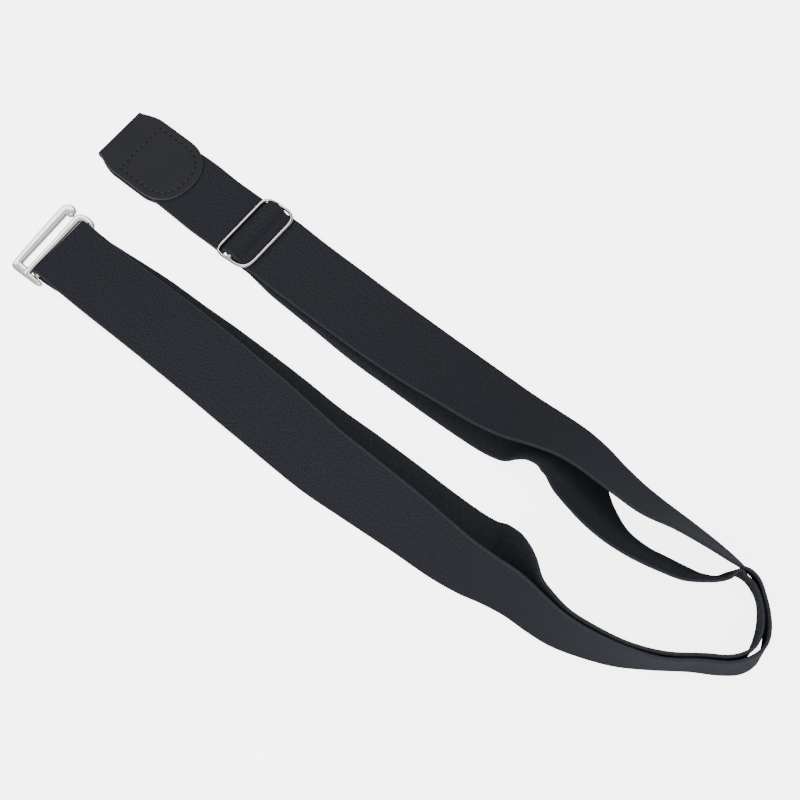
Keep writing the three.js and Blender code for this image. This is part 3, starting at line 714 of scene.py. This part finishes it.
def webbing_material(name, dark, light, tint, selvedge, yarn_mm, relief):
    """Elastic webbing: fine polyester yarn that scatters light softly, with a flat woven selvedge.

    The eye sees a fine speckle of yarns and slow bluish clouds where the cover yarn thins over the rubber.
    The lighter line along each selvedge is a painted highlight, mixed in from the selvedge colour. The real
    yarns are
    0.25 mm apart, too fine to show, so yarn_mm draws them coarser: about 0.5 mm apart on the face and over 1
    mm on the plainer back.
    """
    made, tree, shader = new_material(name)
    place = add_node(tree, "ShaderNodeUVMap", uv_map="real_size").outputs["UV"]
    yarn_place = add_node(
        tree, "ShaderNodeMapping",
        {"Vector": place, "Rotation": (0.0, 0.0, np.radians(yarn_slant)), "Scale": (1, 0.5, 1)},
    ).outputs["Vector"]
    yarn = add_node(
        tree, "ShaderNodeTexNoise", {"Vector": yarn_place, "Scale": 1000 / yarn_mm, "Detail": 1.5}
    ).outputs["Fac"]
    cloud = add_node(
        tree, "ShaderNodeTexNoise", {"Vector": place, "Scale": 1 / 0.014, "Detail": 2.0}
    ).outputs["Fac"]
    speckle = add_node(
        tree, "ShaderNodeMapRange", {"Value": yarn, "From Min": 0.32, "From Max": 0.68}
    ).outputs["Result"]
    ground = add_node(
        tree, "ShaderNodeMix", {"Factor": speckle, "A": linear(dark), "B": linear(light)}, data_type="RGBA"
    )
    patch = add_node(
        tree, "ShaderNodeMapRange", {"Value": cloud, "From Min": 0.44, "From Max": 0.66, "To Max": 0.25}
    ).outputs["Result"]
    clouded = add_node(
        tree, "ShaderNodeMix", {"Factor": patch, "A": mixed(ground), "B": linear(tint)}, data_type="RGBA"
    )
    across = add_node(tree, "ShaderNodeSeparateXYZ", {"Vector": place}).outputs["Y"]
    on_face = add_node(
        tree, "ShaderNodeMath", {0: across, 1: strap_width / 1000}, operation="MODULO"
    ).outputs["Value"]
    from_edge = add_node(
        tree, "ShaderNodeMath",
        {0: add_node(
            tree, "ShaderNodeMath", {0: on_face, 1: strap_width / 2000}, operation="SUBTRACT"
        ).outputs["Value"]},
        operation="ABSOLUTE",
    ).outputs["Value"]
    # Painted highlight: a lighter line along each selvedge, in the selvedge colour
    edge_highlight = add_node(
        tree, "ShaderNodeMapRange",
        {"Value": from_edge, "From Min": strap_width / 2000 - 0.0004, "From Max": strap_width / 2000 - 0.0001,
         "To Max": 0.4},
    ).outputs["Result"]
    edged = add_node(
        tree, "ShaderNodeMix", {"Factor": edge_highlight, "A": mixed(clouded), "B": linear(selvedge)}, data_type="RGBA"
    )
    bump = add_node(tree, "ShaderNodeBump", {"Height": yarn, "Strength": relief, "Distance": 0.0001})
    tree.links.new(mixed(edged), shader.inputs["Base Color"])
    tree.links.new(bump.outputs["Normal"], shader.inputs["Normal"])
    shader.inputs["Roughness"].default_value = 0.85
    shader.inputs["Specular IOR Level"].default_value = 0.06
    shader.inputs["Sheen Weight"].default_value = 0.04
    shader.inputs["Sheen Roughness"].default_value = 0.5
    shader.inputs["Sheen Tint"].default_value = linear("#b8c4e0")
    return made


def leather_material():
    """Finished leather: smooth, matt and close-grained, with a painted highlight that makes the rounded cut
    edge paler.
    """
    made, tree, shader = new_material("smooth_black_leather")
    place = add_node(tree, "ShaderNodeTexCoord").outputs["Object"]
    rim = add_node(tree, "ShaderNodeAttribute", attribute_name="rim_distance")
    cloud = add_node(tree, "ShaderNodeTexNoise", {"Vector": place, "Scale": 1 / 0.018, "Detail": 3.0})
    grain = add_node(tree, "ShaderNodeTexNoise", {"Vector": place, "Scale": 1 / 0.0006, "Detail": 2.0})
    ground = add_node(
        tree, "ShaderNodeMix",
        {"Factor": cloud.outputs["Fac"], "A": linear("#212225"), "B": linear("#26262a")},
        data_type="RGBA",
    )
    # Painted highlight: the colour goes lighter over the rounded cut edge
    edge = add_node(
        tree, "ShaderNodeMapRange",
        {"Value": rim.outputs["Fac"], "From Min": 0.05, "From Max": 0.22, "To Min": 1.0, "To Max": 0.0},
    )
    coloured = add_node(
        tree, "ShaderNodeMix",
        {"Factor": edge.outputs["Result"], "A": mixed(ground), "B": linear("#4a4c50")},
        data_type="RGBA",
    )
    bump = add_node(
        tree, "ShaderNodeBump",
        {"Height": grain.outputs["Fac"], "Strength": 0.35, "Distance": 0.00005},
    )
    tree.links.new(mixed(coloured), shader.inputs["Base Color"])
    tree.links.new(bump.outputs["Normal"], shader.inputs["Normal"])
    shader.inputs["Roughness"].default_value = 0.62
    shader.inputs["Specular IOR Level"].default_value = 0.12
    return made


def thread_material():
    """Waxed polyester thread: darker than the leather, with a small soft glint on each stitch."""
    made, tree, shader = new_material("waxed_black_thread")
    place = add_node(tree, "ShaderNodeTexCoord").outputs["Object"]
    ply = add_node(tree, "ShaderNodeTexNoise", {"Vector": place, "Scale": 1 / 0.0004, "Detail": 1.0})
    coloured = add_node(
        tree, "ShaderNodeMix",
        {"Factor": ply.outputs["Fac"], "A": linear("#0e0f11"), "B": linear("#232428")},
        data_type="RGBA",
    )
    tree.links.new(mixed(coloured), shader.inputs["Base Color"])
    shader.inputs["Roughness"].default_value = 0.4
    return made


def nickel_material():
    """Nickel plate on die-cast zinc, tumbled and polished: bright flats and darker rims.

    The rims are dark because their rounding mirrors the dim low part of the surround.
    """
    made, tree, shader = new_material("polished_nickel_plate")
    place = add_node(tree, "ShaderNodeTexCoord").outputs["Object"]
    haze = add_node(tree, "ShaderNodeTexNoise", {"Vector": place, "Scale": 1 / 0.003, "Detail": 3.0})
    rough = add_node(
        tree, "ShaderNodeMapRange",
        {"Value": haze.outputs["Fac"], "From Min": 0.3, "From Max": 0.7, "To Min": 0.06, "To Max": 0.14},
    )
    bump = add_node(
        tree, "ShaderNodeBump",
        {"Height": haze.outputs["Fac"], "Strength": 0.1, "Distance": 0.00005},
    )
    tree.links.new(rough.outputs["Result"], shader.inputs["Roughness"])
    tree.links.new(bump.outputs["Normal"], shader.inputs["Normal"])
    shader.inputs["Base Color"].default_value = linear("#c6c4c1")
    shader.inputs["Metallic"].default_value = 1.0
    return made


def floor_material():
    """A seamless sheet of matt white paper, with a glow that only the camera sees, to wash it out."""
    made, tree, shader = new_material("matt_white_paper")
    shader.inputs["Base Color"].default_value = linear("#fbfbfb")
    shader.inputs["Roughness"].default_value = 0.9
    shader.inputs["Specular IOR Level"].default_value = 0.1
    shader.inputs["Emission Color"].default_value = linear("#ffffff")
    seen = add_node(tree, "ShaderNodeLightPath").outputs["Is Camera Ray"]
    glow = add_node(tree, "ShaderNodeMath", {0: seen, 1: 4.5}, operation="MULTIPLY").outputs["Value"]
    tree.links.new(glow, shader.inputs["Emission Strength"])
    return made


# Camera, lights and floor
def place_camera():
    """The camera at the photograph's viewing angle, turned to its target without roll."""
    eye = Vector((0.1756, -0.2060, 0.6563))
    target = Vector((-0.0012, 0.0093, 0.0))
    camera = bpy.data.objects.new("camera", bpy.data.cameras.new("camera"))
    camera.location = eye
    camera.rotation_euler = (target - eye).to_track_quat("-Z", "Y").to_euler()
    camera.data.lens = 81.0
    camera.data.sensor_width = 36.0
    camera.data.clip_start = 0.01
    bpy.context.scene.collection.objects.link(camera)
    bpy.context.scene.camera = camera


def place_light(name, location, size, power):
    """A square soft light that faces the object."""
    lamp = bpy.data.objects.new(name, bpy.data.lights.new(name, "AREA"))
    lamp.data.size = size
    lamp.data.energy = power
    lamp.location = location
    lamp.rotation_euler = (-Vector(location)).to_track_quat("-Z", "Y").to_euler()
    bpy.context.scene.collection.objects.link(lamp)


def place_surroundings():
    """A white floor, a white surround that is dim at the horizon and bright above, and two soft lights."""
    corners = np.array([(-1.5, -1.5, 0), (1.5, -1.5, 0), (1.5, 1.5, 0), (-1.5, 1.5, 0)])
    mesh = bpy.data.meshes.new("floor")
    mesh.from_pydata(corners.tolist(), [], [[0, 1, 2, 3]])
    floor = bpy.data.objects.new("floor", mesh)
    bpy.context.scene.collection.objects.link(floor)
    floor.data.materials.append(floor_material())
    world = bpy.data.worlds.new("soft_white_surround")
    world.use_nodes = True
    tree = world.node_tree
    direction = add_node(tree, "ShaderNodeTexCoord").outputs["Generated"]
    raised = add_node(
        tree, "ShaderNodeVectorMath", {0: direction, 1: (0.23, -0.27, 1.0)}, operation="DOT_PRODUCT"
    )
    bright = add_node(
        tree, "ShaderNodeMapRange",
        {"Value": raised.outputs["Value"], "From Min": 0.30, "From Max": 1.05, "To Min": 0.02, "To Max": 2.1},
        interpolation_type="SMOOTHSTEP",
    ).outputs["Result"]
    background = tree.nodes["Background"]
    tree.links.new(bright, background.inputs["Strength"])
    background.inputs["Color"].default_value = (1.0, 1.0, 1.0, 1.0)
    bpy.context.scene.world = world
    place_light("softbox_near", (0.2, -1.0, 1.0), 0.9, 8.0)
    place_light("softbox_left", (-0.9, 0.4, 1.0), 0.5, 4.0)


def build():
    # The last colour given to each webbing is a painted highlight along its selvedges
    twill = webbing_material("black_twill_webbing", "#15161a", "#303136", "#25262f", "#3c3e43", 0.34, 0.5)
    # Partly the back's own colour and partly painted light: its colours are raised above the face's to stand
    # in for fill light in the shade where the back is mostly seen
    back_with_painted_fill = webbing_material("black_webbing_back_painted_fill", "#212327", "#2b2d31", "#26282c", "#303236", 0.9, 0.12)
    leather, thread, nickel = leather_material(), thread_material(), nickel_material()
    strap = make_strap()
    tab, sewing = make_tab(), make_sewing()
    slider, slider_bar = make_slider(), make_slider_bar()
    buckle = (
        edged_plate("buckle_hook", hook_edges),
        edged_plate("buckle_frame", frame_edges),
        make_buckle_rail(),
    )
    finishes = (
        (strap, "elastic_strap", "webbing", None),
        (tab, "leather_tab", "leather", leather),
        (sewing, "leather_tab", "leather", thread),
        (slider, "wire_slider", "nickel", nickel),
        (slider_bar, "wire_slider", "nickel", nickel),
        *((piece, "hook_buckle", "nickel", nickel) for piece in buckle),
    )
    strap.data.materials.append(twill)
    strap.data.materials.append(back_with_painted_fill)
    for piece, node, slot, material in finishes:
        if material is not None:
            piece.data.materials.append(material)
        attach(piece, "root")
        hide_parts(node)
    run = path_length(np.stack(strap_middle()))[-1] / 1000


def strap_middle():
    """The middle line of the webbing."""
    edge, across, width = strap_sections()
    return edge + across * width[:, None] / 2


place_camera()
place_surroundings()
build()
